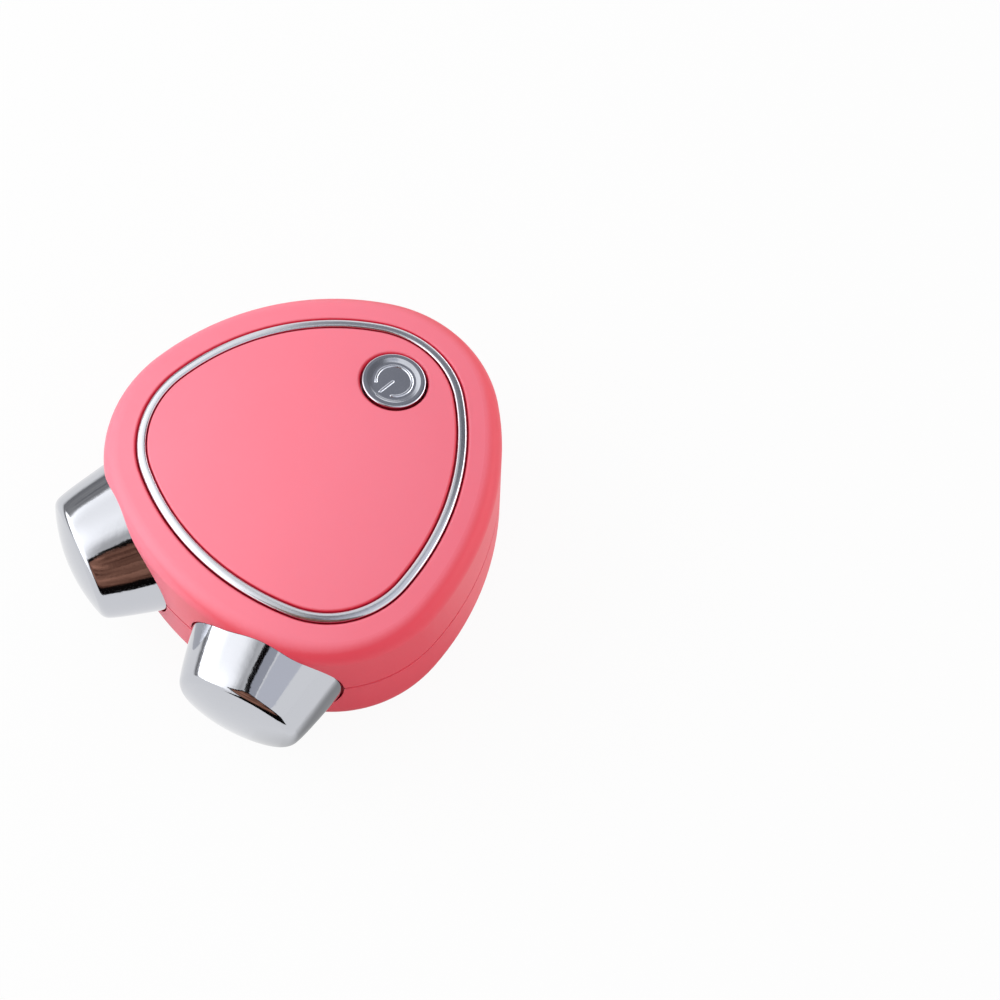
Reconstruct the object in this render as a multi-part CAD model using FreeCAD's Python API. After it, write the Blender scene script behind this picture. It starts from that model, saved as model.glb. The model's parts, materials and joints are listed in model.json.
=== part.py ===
import FreeCAD
import Part
import math
import os

# Hand-held facial massager: a domed pebble casing with two splayed chrome rollers at the front.
# Millimetres. The base rests on Z = 0, the rollers point to -Y, the button and tail corner to +Y.

# Body outline: three corner arcs joined by three flatter side arcs
CORNER_REACH = 32.2
CORNER_RADIUS = 20.6
SIDE_RADIUS = 44.9

# Casing
PARTING_HEIGHT = 14.3
DOME_HEIGHT = 17.6
DOME_RADIUS = 98.0
WALL = 1.8
FLOOR = 1.8
DECK = 1.4
RIM_RADIUS = 3.6
INNER_RIM_RADIUS = 2.4
BASE_RADIUS = 5.4
INNER_BASE_RADIUS = 3.5
GROOVE_HEIGHT = 0.55
GROOVE_DEPTH = 0.45
LIP_INSET = 0.8
LIP_HEIGHT = 1.1
LIP_CLEARANCE = 0.08

# Face panel and trim ring
PANEL_THICKNESS = 1.6
PANEL_EDGE = 0.45
RECESS_EDGE = 0.35
RING_INSET = 6.1
RING_WIDTH = 1.4
RING_PROUD = 0.15
RING_BEVEL = 0.3
RING_GAP = 0.18
PEG_RADIUS = 0.8
PEG_CLEARANCE = 0.08
PEG_SETBACK = 17.6
PEG_COUNT = 3

# Power button and its switch
BUTTON_SETBACK = 14.5
BUTTON_RADIUS = 4.9
BUTTON_GAP = 0.3
BUTTON_PROUD = 0.3
BUTTON_EDGE = 0.25
BUTTON_TRAVEL = 0.5
BUTTON_FLANGE = 1.0
BUTTON_FLANGE_LOW = 1.9
BUTTON_SKIN = 1.3
BUTTON_HOLLOW_RADIUS = 3.7
FLANGE_CLEARANCE = 0.1
STEM_RADIUS = 1.5
DISH_RADIUS = 3.7
DISH_DEPTH = 0.28
SYMBOL_RADIUS = 2.75
SYMBOL_WIDTH = 0.5
SYMBOL_HEIGHT = 0.2
SYMBOL_GAP_ANGLE = 38.0
SYMBOL_BAR_LENGTH = 3.2
SYMBOL_END_SHARE = 0.48
SWITCH_SIZE = 6.0
SWITCH_HEIGHT = 3.2
PLUNGER_RADIUS = 1.7
PLUNGER_CLEARANCE = 0.08
PLUNGER_RISE = 1.2
PLUNGER_SINK = 0.6

# Rollers, measured inward along each axle from the plane of the roller's outer end
ROLLER_ANGLE = 19.8
ROLLER_PROUD = 7.3
ROLLER_END_RADIUS = 10.15
ROLLER_TAPER = 0.23
ROLLER_LENGTH = 10.6
ROLLER_CROWN = 2.0
ROLLER_EDGE = 2.1
ROLLER_BASE_EDGE = 0.5
ROLLER_WALL = 1.6
ROLLER_END_WALL = 2.2
ROLLER_FACE = 3.8
HUB_RADIUS = 3.6
SOCKET_GAP = 0.25
SOCKET_CLEARANCE = 0.5
CUP_WALL = 1.5

# Axles, bushes, washers, clips and contact springs
AXLE_RADIUS = 2.0
AXLE_FIT = 0.02
AXLE_END = 26.8
AXLE_CHAMFER = 0.3
RUNNING_FIT = 0.04
WASHER_RADIUS = 3.5
WASHER_THICKNESS = 0.3
THRUST_GAP = 0.05
BUSH_RADIUS = 3.0
BUSH_FLANGE_RADIUS = 4.2
BUSH_FLANGE = 0.8
FRONT_BUSH_LENGTH = 4.0
REAR_BUSH_LENGTH = 3.0
REAR_BUSH_START = 21.3
SADDLE_WALL = 1.6
CLIP_RADIUS = 3.4
CLIP_THICKNESS = 0.6
CLIP_GAP = 0.15
CLIP_DEPTH = 0.5
CLIP_MOUTH = 2.4
CLIP_FIT = 0.03
CONTACT_THICKNESS = 0.2
CONTACT_WIDTH = 3.0
CONTACT_FOOT = 3.0
CONTACT_DROP = 1.6

# Circuit board and what it carries
BOARD_RISE = 5.0
BOARD_THICKNESS = 1.2
BOARD_WIDTH = 34.0
BOARD_FRONT_GAP = 0.2
BOARD_SHOULDER_GAP = 1.8
BOARD_TAIL_WIDTH = 16.4
BOARD_TAIL_MARGIN = 4.5
BOARD_CORNER = 1.5
BOARD_BOSS_RADIUS = 2.2
BOARD_BOSS_MARGIN = 3.4
BOARD_BOSS_SETBACK = 3.8
CONTROLLER_SIZE = 5.0
CONTROLLER_HEIGHT = 1.0
CHARGER_LENGTH = 3.0
CHARGER_WIDTH = 1.7
CHARGER_HEIGHT = 1.1
CHARGER_SPACING = 6.1
CHARGER_SETBACK = 2.5
COIL_SIZE = 6.0
COIL_HEIGHT = 2.8
COIL_CORNER = 1.2
COIL_SPACING = 8.0
COIL_STEP = 4.5
CAPACITOR_LENGTH = 2.0
CAPACITOR_WIDTH = 1.25
CAPACITOR_HEIGHT = 0.9
CAPACITOR_PITCH = 2.4
CAPACITOR_COUNT = 5
CAPACITOR_START = 3.6
CAPACITOR_SETBACK = 1.6
CONNECTOR_LENGTH = 6.0
CONNECTOR_WIDTH = 4.5
CONNECTOR_HEIGHT = 4.0

# Charging socket in the tail wall
PORT_WIDTH = 8.94
PORT_HEIGHT = 3.26
PORT_LENGTH = 7.3
PORT_SHEET = 0.3
PORT_GAP = 0.12
PORT_SETBACK = 0.6
PORT_BACK = 1.6
TONGUE_WIDTH = 6.7
TONGUE_THICKNESS = 0.7
TONGUE_SETBACK = 0.9

# Battery, its tape and its leads
BATTERY_LENGTH = 26.0
BATTERY_THICKNESS = 7.0
BATTERY_EDGE = 2.0
BATTERY_FRONT_GAP = 1.4
BATTERY_REAR_GAP = 2.3
TAPE_THICKNESS = 0.5
TAPE_MARGIN = 3.0
FENCE_CLEARANCE = 0.3
FENCE_THICKNESS = 1.0
FENCE_HEIGHT = 4.0
LEAD_RADIUS = 0.5
LEAD_SPACING = 2.0
LEAD_OUT = 4.2
LEAD_BEND = 3.0
LEAD_RISE = 5.5

# Screws
CASE_BOSS_RADIUS = 3.0
CASE_BOSS_INSET = 0.6
CASE_BOSS_ANGLE = 64.0
FRONT_BOSS_INSET = 11.2
CASE_HEAD_RADIUS = 1.9
CASE_HEAD_HEIGHT = 1.4
CASE_HEAD_CLEARANCE = 0.2
CASE_SHANK_RADIUS = 0.95
CASE_GRIP = 4.0
CASE_BITE = 5.0
BOARD_HEAD_RADIUS = 1.5
BOARD_HEAD_HEIGHT = 0.9
BOARD_SHANK_RADIUS = 0.7
BOARD_BITE = 3.0
SHANK_CLEARANCE = 0.15
THREAD_FIT = 0.02
DRIVE_WIDTH = 0.35
DRIVE_DEPTH = 0.5
DRIVE_SHARE = 0.62

# Cuts run this far past the faces they open; a point this near a surface lies on it
OVERRUN = 1.0
NEARNESS = 0.01

# Places that follow from the sizes above
CORNER_OFFSET = CORNER_REACH - CORNER_RADIUS
ARC_STEP = SIDE_RADIUS - CORNER_RADIUS
SIDE_OFFSET = (math.sqrt(4 * ARC_STEP**2 - 3 * CORNER_OFFSET**2) - CORNER_OFFSET) / 2
SIDE_REACH = SIDE_RADIUS - SIDE_OFFSET
TOP_HEIGHT = PARTING_HEIGHT + DOME_HEIGHT
DOME_CENTRE = TOP_HEIGHT - DOME_RADIUS
BUTTON_Y = CORNER_REACH - BUTTON_SETBACK
PEG_CIRCLE = SIDE_REACH - PEG_SETBACK
PANEL_INSET = RING_INSET + RING_WIDTH / 2 + RING_GAP
RECESS_INSET = RING_INSET - RING_WIDTH / 2 - RING_GAP
DECK_DROP = PANEL_THICKNESS + DECK
ROLLER_BASE_RADIUS = ROLLER_END_RADIUS + ROLLER_TAPER * ROLLER_LENGTH
SOCKET_FLOOR = ROLLER_LENGTH + SOCKET_CLEARANCE
WASHER_START = ROLLER_LENGTH + THRUST_GAP
FRONT_BUSH_START = WASHER_START + WASHER_THICKNESS
FLANGE_END = FRONT_BUSH_START + BUSH_FLANGE
FRONT_BUSH_END = FLANGE_END + FRONT_BUSH_LENGTH
REAR_BUSH_END = REAR_BUSH_START + REAR_BUSH_LENGTH
CLIP_START = FRONT_BUSH_END + CLIP_GAP
AXLE_TURN = math.radians(ROLLER_ANGLE)
AXLE_REACH = SIDE_RADIUS + ROLLER_PROUD
SADDLE_HALF = BUSH_RADIUS + SADDLE_WALL
REAR_BUSH_Y = SIDE_OFFSET - (AXLE_REACH - REAR_BUSH_END) * math.cos(AXLE_TURN)
SADDLE_REAR = REAR_BUSH_Y + SADDLE_HALF * math.sin(AXLE_TURN)
CASE_BOSS_REACH = CORNER_RADIUS - WALL - CASE_BOSS_INSET - CASE_BOSS_RADIUS
CASE_BOSS_FRONT = CORNER_OFFSET + CASE_BOSS_REACH * math.cos(math.radians(CASE_BOSS_ANGLE)) - CASE_BOSS_RADIUS
BOARD_BOTTOM = PARTING_HEIGHT + BOARD_RISE
BOARD_TOP = BOARD_BOTTOM + BOARD_THICKNESS
BOARD_FRONT = SADDLE_REAR + BOARD_FRONT_GAP
BOARD_SHOULDER = CASE_BOSS_FRONT - BOARD_SHOULDER_GAP
BOARD_TAIL = CORNER_REACH - BOARD_TAIL_MARGIN
BOARD_BOSS_X = BOARD_WIDTH / 2 - BOARD_BOSS_MARGIN
BOARD_BOSS_REAR = BOARD_SHOULDER - BOARD_BOSS_SETBACK
BOARD_BOSS_FRONT = BOARD_FRONT + BOARD_BOSS_SETBACK
CONTROLLER_Y = (BOARD_BOSS_FRONT + BUTTON_Y) / 2
PORT_MOUTH = CORNER_REACH - PORT_SETBACK
PORT_REAR = PORT_MOUTH - PORT_LENGTH
PORT_LEVEL = BOARD_BOTTOM - PORT_HEIGHT / 2
SWITCH_TOP = BOARD_TOP + SWITCH_HEIGHT
PLUNGER_TOP = SWITCH_TOP + PLUNGER_RISE
BATTERY_BOTTOM = FLOOR + TAPE_THICKNESS
BATTERY_FRONT = SADDLE_REAR + BATTERY_FRONT_GAP
BATTERY_REAR = CASE_BOSS_FRONT - BATTERY_REAR_GAP
BATTERY_WIDTH = BATTERY_REAR - BATTERY_FRONT
BATTERY_Y = (BATTERY_FRONT + BATTERY_REAR) / 2
CASE_SEAT = PARTING_HEIGHT - CASE_GRIP
SIDES = {"left": -1, "right": 1}


def at(x, y, z):
    return FreeCAD.Vector(x, y, z)


def bearing(degrees, distance):
    """A point in plan at a distance from the middle, its bearing counted from +X towards +Y."""
    turn = math.radians(degrees)
    return at(distance * math.cos(turn), distance * math.sin(turn), 0)


def outline(inset, level):
    """The body outline moved inward by an inset, as a closed wire of six tangent arcs."""
    arcs = []
    for corner in (90, 210, 330):
        corner_centre = bearing(corner, CORNER_OFFSET)
        joints = []
        for side in (corner - 60, corner + 60):
            side_centre = bearing(side, -SIDE_OFFSET)
            outward = (corner_centre - side_centre).normalize()
            joints.append(corner_centre + outward * (CORNER_RADIUS - inset))
        arcs.append((joints[0], bearing(corner, CORNER_REACH - inset), joints[1]))
    edges = []
    for this, after in zip(arcs, arcs[1:] + arcs[:1]):
        edges.append(Part.Arc(*this).toShape())
        bulge = (this[2] + after[0]).normalize() * (SIDE_REACH - inset)
        edges.append(Part.Arc(this[2], bulge, after[0]).toShape())
    wire = Part.Wire(edges)
    wire.translate(at(0, 0, level))
    return wire


def prism(inset, low, high):
    return Part.Face(outline(inset, low)).extrude(at(0, 0, high - low))


def dome(drop):
    """The ball whose top is the face of the body, sunk by a drop; its seam is turned to the far side."""
    ball = Part.makeSphere(DOME_RADIUS - drop)
    ball.rotate(at(0, 0, 0), at(0, 1, 0), 90)
    ball.translate(at(0, 0, DOME_CENTRE))
    return ball


def dome_level(distance, drop):
    return DOME_CENTRE + math.sqrt((DOME_RADIUS - drop)**2 - distance**2)


def domed_prism(inset, low, drop):
    return prism(inset, low, TOP_HEIGHT + OVERRUN).common(dome(drop))


def dome_edges(shape, drop):
    """The edges of a shape that lie all along the sunk dome."""
    centre = at(0, 0, DOME_CENTRE)
    found = []
    for edge in shape.Edges:
        depths = [point.distanceToPoint(centre) - (DOME_RADIUS - drop) for point in edge.discretize(3)]
        if max(abs(depth) for depth in depths) < NEARNESS:
            found.append(edge)
    return found


def level_edges(shape, level):
    """The edges of a shape that lie in one horizontal plane."""
    return [
        edge for edge in shape.Edges
        if abs(edge.BoundBox.ZMin - level) < NEARNESS and abs(edge.BoundBox.ZMax - level) < NEARNESS
    ]


def block(length, width, height, x, y, low):
    """An upright block, centred in plan on x and y."""
    return Part.makeBox(length, width, height, at(x - length / 2, y - width / 2, low))


def rod(radius, low, high, x=0, y=0):
    return Part.makeCylinder(radius, high - low, at(x, y, low))


def joined(shapes):
    first, *rest = shapes
    return first.fuse(rest).removeSplitter() if rest else first


def upright_edges(shape):
    return [edge for edge in shape.Edges if edge.BoundBox.XLength + edge.BoundBox.YLength < NEARNESS]


def stadium(width, height, low, high):
    """A bar along Y with a level slot-shaped section, centred on the charging socket."""
    radius = height / 2
    reach = width / 2 - radius
    left, right = at(-reach, low, PORT_LEVEL), at(reach, low, PORT_LEVEL)
    up = at(0, 0, radius)
    edges = [
        Part.LineSegment(left + up, right + up).toShape(),
        Part.Arc(right + up, right + at(radius, 0, 0), right - up).toShape(),
        Part.LineSegment(right - up, left - up).toShape(),
        Part.Arc(left - up, left - at(radius, 0, 0), left + up).toShape(),
    ]
    return Part.Face(Part.Wire(edges)).extrude(at(0, high - low, 0))


# Axle frames: local Z runs inward along the axle from the roller's outer end, local Y is up

def on_axle(shape, side):
    """Carry a shape from the axle's own frame to its place in the body."""
    outward = at(side * math.sin(AXLE_TURN), -math.cos(AXLE_TURN), 0)
    start = outward * AXLE_REACH + at(0, SIDE_OFFSET, PARTING_HEIGHT)
    inward = outward * -1
    up = at(0, 0, 1)
    across = up.cross(inward)
    placed = shape.copy()
    placed.Placement = FreeCAD.Placement(start, FreeCAD.Rotation(across, up, inward, "ZYX"))
    return placed


def roller_radius(distance):
    return ROLLER_END_RADIUS + ROLLER_TAPER * distance


def socket_space():
    """The tapered hole that a roller's base runs in, with its gap, and its bush's counterbore."""
    radii = [roller_radius(distance) + SOCKET_GAP for distance in (0, SOCKET_FLOOR)]
    return joined([Part.makeCone(*radii, SOCKET_FLOOR), rod(BUSH_FLANGE_RADIUS, ROLLER_LENGTH, FLANGE_END)])


def bush_space():
    """The seats of both bushes."""
    front = rod(BUSH_RADIUS, FLANGE_END - OVERRUN, FRONT_BUSH_END + OVERRUN)
    rear = rod(BUSH_RADIUS, REAR_BUSH_START - OVERRUN, REAR_BUSH_END + OVERRUN)
    return joined([front, rear])


def saddle(start, end):
    """A bearing rib around one bush, full height, for either shell to carry half of."""
    return Part.makeBox(SADDLE_HALF * 2, TOP_HEIGHT * 2, end - start, at(-SADDLE_HALF, -TOP_HEIGHT, start))


def roller_supports(side):
    cup = rod(ROLLER_BASE_RADIUS + SOCKET_GAP + CUP_WALL, 0, SOCKET_FLOOR + CUP_WALL)
    front = saddle(SOCKET_FLOOR, FRONT_BUSH_END)
    rear = saddle(REAR_BUSH_START, REAR_BUSH_END)
    return [on_axle(piece, side) for piece in (cup, front, rear)]


def case_boss_places():
    tail_centre = at(0, CORNER_OFFSET, 0)
    turns = (90 + CASE_BOSS_ANGLE, 90 - CASE_BOSS_ANGLE)
    rear = [tail_centre + bearing(turn, CASE_BOSS_REACH) for turn in turns]
    return rear + [at(0, FRONT_BOSS_INSET - SIDE_REACH, 0)]


def board_boss_places():
    rear = [at(side * BOARD_BOSS_X, BOARD_BOSS_REAR, 0) for side in SIDES.values()]
    return rear + [at(0, BOARD_BOSS_FRONT, 0)]


def peg_places():
    return [bearing(270 + 360 * turn / PEG_COUNT, PEG_CIRCLE) for turn in range(PEG_COUNT)]


def groove():
    """The shadow line that runs round the joint between the shells."""
    low, high = PARTING_HEIGHT - GROOVE_HEIGHT / 2, PARTING_HEIGHT + GROOVE_HEIGHT / 2
    return prism(-OVERRUN, low, high).cut(prism(GROOVE_DEPTH, low, high))


def make_upper_shell():
    outer = domed_prism(0, PARTING_HEIGHT, 0)
    outer = outer.makeFillet(RIM_RADIUS, dome_edges(outer, 0))
    cavity = domed_prism(WALL, PARTING_HEIGHT - OVERRUN, DECK_DROP)
    cavity = cavity.makeFillet(INNER_RIM_RADIUS, dome_edges(cavity, DECK_DROP))
    kept = [piece for side in SIDES.values() for piece in roller_supports(side)]
    kept += [rod(CASE_BOSS_RADIUS, 0, TOP_HEIGHT, spot.x, spot.y) for spot in case_boss_places()]
    kept += [rod(BOARD_BOSS_RADIUS, BOARD_TOP, TOP_HEIGHT, spot.x, spot.y) for spot in board_boss_places()]
    shell = outer.cut(cavity.cut(kept))
    recess = prism(RECESS_INSET, PARTING_HEIGHT, TOP_HEIGHT + OVERRUN).cut(dome(PANEL_THICKNESS))
    shell = shell.cut(recess)
    shell = shell.makeFillet(RECESS_EDGE, dome_edges(shell, 0))
    lip_top = PARTING_HEIGHT + LIP_HEIGHT + LIP_CLEARANCE
    rabbet = prism(LIP_INSET, PARTING_HEIGHT - OVERRUN, lip_top)
    rabbet = rabbet.cut(prism(WALL + LIP_CLEARANCE, PARTING_HEIGHT - OVERRUN, lip_top))
    opened = [rabbet, groove(), rod(BUTTON_RADIUS + BUTTON_GAP, BOARD_TOP, TOP_HEIGHT, 0, BUTTON_Y)]
    opened += [on_axle(space, side) for side in SIDES.values() for space in (socket_space(), bush_space())]
    holes = (
        (case_boss_places(), CASE_SHANK_RADIUS + THREAD_FIT, PARTING_HEIGHT, CASE_BITE + OVERRUN),
        (board_boss_places(), BOARD_SHANK_RADIUS + THREAD_FIT, BOARD_TOP, BOARD_BITE + OVERRUN),
        (peg_places(), PEG_RADIUS + PEG_CLEARANCE, TOP_HEIGHT - DECK_DROP * 2, DECK_DROP * 2),
    )
    for places, radius, low, depth in holes:
        opened += [rod(radius, low, low + depth, spot.x, spot.y) for spot in places]
    mouth = [size + PORT_GAP * 2 for size in (PORT_WIDTH, PORT_HEIGHT)]
    opened.append(stadium(*mouth, BOARD_TAIL, CORNER_REACH + OVERRUN))
    return shell.cut(opened)


def battery_fence():
    inner = (BATTERY_LENGTH + FENCE_CLEARANCE * 2, BATTERY_WIDTH + FENCE_CLEARANCE * 2)
    outer = [size + FENCE_THICKNESS * 2 for size in inner]
    wall = block(*outer, FLOOR + FENCE_HEIGHT, 0, BATTERY_Y, 0)
    return wall.cut(block(*inner, FLOOR + FENCE_HEIGHT, 0, BATTERY_Y, 0))


def make_lower_shell():
    outer = prism(0, 0, PARTING_HEIGHT)
    outer = outer.makeFillet(BASE_RADIUS, level_edges(outer, 0))
    lip_top = PARTING_HEIGHT + LIP_HEIGHT
    outer = outer.fuse(prism(LIP_INSET + LIP_CLEARANCE, PARTING_HEIGHT - LIP_HEIGHT, lip_top))
    cavity = prism(WALL, FLOOR, lip_top + OVERRUN)
    cavity = cavity.makeFillet(INNER_BASE_RADIUS, level_edges(cavity, FLOOR))
    kept = [piece for side in SIDES.values() for piece in roller_supports(side)]
    kept += [rod(CASE_BOSS_RADIUS, 0, PARTING_HEIGHT, spot.x, spot.y) for spot in case_boss_places()]
    kept.append(battery_fence())
    below = prism(-OVERRUN, 0, PARTING_HEIGHT)
    kept = [piece.common(below) for piece in kept]
    shell = outer.cut(cavity.cut(kept))
    opened = [groove()]
    opened += [on_axle(space, side) for side in SIDES.values() for space in (socket_space(), bush_space())]
    for spot in case_boss_places():
        opened.append(rod(CASE_HEAD_RADIUS + CASE_HEAD_CLEARANCE, -OVERRUN, CASE_SEAT, spot.x, spot.y))
        opened.append(rod(CASE_SHANK_RADIUS + SHANK_CLEARANCE, 0, PARTING_HEIGHT, spot.x, spot.y))
    return shell.cut(opened)


def make_trim_ring():
    outer = domed_prism(RING_INSET - RING_WIDTH / 2, PARTING_HEIGHT, -RING_PROUD)
    ring = outer.cut(prism(RING_INSET + RING_WIDTH / 2, PARTING_HEIGHT, TOP_HEIGHT + OVERRUN))
    ring = ring.cut(dome(PANEL_THICKNESS))
    return ring.makeChamfer(RING_BEVEL, dome_edges(ring, -RING_PROUD))


def make_face_panel():
    panel = domed_prism(PANEL_INSET, PARTING_HEIGHT, 0).cut(dome(PANEL_THICKNESS))
    panel = panel.cut(rod(BUTTON_RADIUS + BUTTON_GAP, PARTING_HEIGHT, TOP_HEIGHT, 0, BUTTON_Y))
    panel = panel.makeFillet(PANEL_EDGE, dome_edges(panel, 0))
    peg_low = dome_level(PEG_CIRCLE, DECK_DROP)
    peg_high = dome_level(PEG_CIRCLE, PANEL_THICKNESS / 2)
    return joined([panel] + [rod(PEG_RADIUS, peg_low, peg_high, spot.x, spot.y) for spot in peg_places()])


def power_symbol(high):
    """A ring broken towards the rollers and a bar through the break, standing on the button's dish."""
    low = dome_level(BUTTON_Y, DECK_DROP / 2)
    outer, inner = SYMBOL_RADIUS + SYMBOL_WIDTH / 2, SYMBOL_RADIUS - SYMBOL_WIDTH / 2
    ring = rod(outer, low, high).cut(rod(inner, low, high))
    spread = math.tan(math.radians(SYMBOL_GAP_ANGLE)) * BUTTON_RADIUS
    middle = at(0, 0, low)
    mouth = [middle + at(side * spread, -BUTTON_RADIUS, 0) for side in SIDES.values()]
    wedge = Part.Face(Part.makePolygon([middle, *mouth, middle]))
    ring = ring.cut(wedge.extrude(at(0, 0, high - low)))
    bar = block(SYMBOL_WIDTH, SYMBOL_BAR_LENGTH, high - low, 0, -SYMBOL_BAR_LENGTH / 2, low)
    bar = bar.makeFillet(SYMBOL_WIDTH * SYMBOL_END_SHARE, upright_edges(bar))
    symbol = Part.makeCompound([ring, bar])
    symbol.translate(at(0, BUTTON_Y, 0))
    return symbol


def make_power_button():
    foot = dome_level(BUTTON_Y, DECK_DROP) - BUTTON_FLANGE_LOW
    cap = rod(BUTTON_RADIUS, foot, TOP_HEIGHT + OVERRUN, 0, BUTTON_Y).common(dome(-BUTTON_PROUD))
    cap = cap.makeFillet(BUTTON_EDGE, dome_edges(cap, -BUTTON_PROUD))
    dish_floor = DISH_DEPTH - BUTTON_PROUD
    dish = rod(DISH_RADIUS, foot, TOP_HEIGHT + OVERRUN, 0, BUTTON_Y).cut(dome(dish_floor))
    cap = cap.cut(dish)
    symbol = power_symbol(TOP_HEIGHT + OVERRUN).common(dome(dish_floor - SYMBOL_HEIGHT))
    flange_drop = DECK_DROP + FLANGE_CLEARANCE
    flange = rod(BUTTON_RADIUS + BUTTON_FLANGE, foot, TOP_HEIGHT, 0, BUTTON_Y).common(dome(flange_drop))
    ceiling = dome_level(BUTTON_Y + BUTTON_HOLLOW_RADIUS, dish_floor) - BUTTON_SKIN
    hollow = rod(BUTTON_HOLLOW_RADIUS, foot - OVERRUN, ceiling, 0, BUTTON_Y)
    stem = rod(STEM_RADIUS, PLUNGER_TOP, ceiling + BUTTON_SKIN / 2, 0, BUTTON_Y)
    return joined([joined([cap, flange]).cut(hollow), stem] + symbol.Solids)


def make_switch_body():
    body = block(SWITCH_SIZE, SWITCH_SIZE, SWITCH_HEIGHT, 0, BUTTON_Y, BOARD_TOP)
    well_floor = SWITCH_TOP - PLUNGER_SINK - BUTTON_TRAVEL - PLUNGER_CLEARANCE
    return body.cut(rod(PLUNGER_RADIUS + PLUNGER_CLEARANCE, well_floor, SWITCH_TOP + OVERRUN, 0, BUTTON_Y))


def make_switch_plunger():
    return rod(PLUNGER_RADIUS, SWITCH_TOP - PLUNGER_SINK, PLUNGER_TOP, 0, BUTTON_Y)


def make_main_board():
    depth = BOARD_SHOULDER - BOARD_FRONT
    wide = block(BOARD_WIDTH, depth, BOARD_THICKNESS, 0, BOARD_FRONT + depth / 2, BOARD_BOTTOM)
    tail = BOARD_TAIL - BOARD_FRONT
    narrow = block(BOARD_TAIL_WIDTH, tail, BOARD_THICKNESS, 0, BOARD_FRONT + tail / 2, BOARD_BOTTOM)
    board = joined([wide, narrow])
    board = board.makeFillet(BOARD_CORNER, upright_edges(board))
    radius = BOARD_SHANK_RADIUS + SHANK_CLEARANCE
    return board.cut([rod(radius, BOARD_BOTTOM, BOARD_TOP, spot.x, spot.y) for spot in board_boss_places()])


def make_boost_coil():
    solid = block(COIL_SIZE, COIL_SIZE, COIL_HEIGHT, -COIL_SPACING, CONTROLLER_Y - COIL_STEP, BOARD_TOP)
    return solid.makeFillet(COIL_CORNER, upright_edges(solid))


def make_chip_capacitors():
    chips = []
    y = BOARD_FRONT + CAPACITOR_SETBACK
    for count in range(CAPACITOR_COUNT):
        x = CAPACITOR_START + CAPACITOR_PITCH * count
        chips.append(block(CAPACITOR_WIDTH, CAPACITOR_LENGTH, CAPACITOR_HEIGHT, x, y, BOARD_TOP))
    return Part.makeCompound(chips)


def make_controller_chip():
    return block(CONTROLLER_SIZE, CONTROLLER_SIZE, CONTROLLER_HEIGHT, 0, CONTROLLER_Y, BOARD_TOP)


def make_charging_chip():
    x, y = BOARD_BOSS_X - CHARGER_SPACING, BOARD_SHOULDER - CHARGER_SETBACK
    return block(CHARGER_LENGTH, CHARGER_WIDTH, CHARGER_HEIGHT, x, y, BOARD_TOP)


def make_battery_connector():
    low = BOARD_BOTTOM - CONNECTOR_HEIGHT
    return block(CONNECTOR_LENGTH, CONNECTOR_WIDTH, CONNECTOR_HEIGHT, 0, CONTROLLER_Y, low)


def make_charge_socket_shell():
    inside = [size - PORT_SHEET * 2 for size in (PORT_WIDTH, PORT_HEIGHT)]
    tube = stadium(PORT_WIDTH, PORT_HEIGHT, PORT_REAR, PORT_MOUTH)
    return tube.cut(stadium(*inside, PORT_REAR - OVERRUN, PORT_MOUTH + OVERRUN))


def make_charge_socket_tongue():
    inside = [size - PORT_SHEET * 2 for size in (PORT_WIDTH, PORT_HEIGHT)]
    back = stadium(*inside, PORT_REAR, PORT_REAR + PORT_BACK)
    length = PORT_LENGTH - TONGUE_SETBACK
    low = PORT_LEVEL - TONGUE_THICKNESS / 2
    return joined([back, block(TONGUE_WIDTH, length, TONGUE_THICKNESS, 0, PORT_REAR + length / 2, low)])


def make_battery():
    cell = block(BATTERY_LENGTH, BATTERY_WIDTH, BATTERY_THICKNESS, 0, BATTERY_Y, BATTERY_BOTTOM)
    along = [edge for edge in cell.Edges if edge.BoundBox.XLength > NEARNESS]
    return cell.makeFillet(BATTERY_EDGE, along)


def make_battery_tape():
    length, width = BATTERY_LENGTH - TAPE_MARGIN * 2, BATTERY_WIDTH - TAPE_MARGIN * 2
    return block(length, width, TAPE_THICKNESS, 0, BATTERY_Y, FLOOR)


def make_battery_lead(side):
    """A lead out of the cell's tail end, up behind it and back into the connector."""
    x = side * LEAD_SPACING / 2
    start = at(x, BATTERY_Y + BATTERY_WIDTH / 2, BATTERY_BOTTOM + LEAD_RISE)
    turn_low = start + at(0, LEAD_OUT, 0)
    level = BOARD_BOTTOM - CONNECTOR_HEIGHT / 2
    turn_high = at(x, turn_low.y, level)
    end = at(x, CONTROLLER_Y + CONNECTOR_WIDTH / 2, level)
    back, up = at(0, LEAD_BEND, 0), at(0, 0, LEAD_BEND)
    bulge = LEAD_BEND * (1 - math.sqrt(1 / 2))
    path = [
        Part.LineSegment(start, turn_low - back).toShape(),
        Part.Arc(turn_low - back, turn_low + at(0, -bulge, bulge), turn_low + up).toShape(),
        Part.LineSegment(turn_low + up, turn_high - up).toShape(),
        Part.Arc(turn_high - up, turn_high - at(0, bulge, bulge), turn_high - back).toShape(),
        Part.LineSegment(turn_high - back, end).toShape(),
    ]
    section = Part.Wire(Part.makeCircle(LEAD_RADIUS, start, at(0, 1, 0)))
    return Part.Wire(path).makePipeShell([section], True, False)


def make_screw(head_radius, head_height, shank_radius, seat, tip, spot):
    """A pan-head screw driven upward, with a cross in its head."""
    head = rod(head_radius, seat - head_height, seat, spot.x, spot.y)
    slot = head_radius * DRIVE_SHARE * 2
    bars = ((slot, DRIVE_WIDTH), (DRIVE_WIDTH, slot))
    cross = [block(*bar, DRIVE_DEPTH, spot.x, spot.y, seat - head_height) for bar in bars]
    return joined([head, rod(shank_radius, seat, tip, spot.x, spot.y)]).cut(cross)


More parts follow.
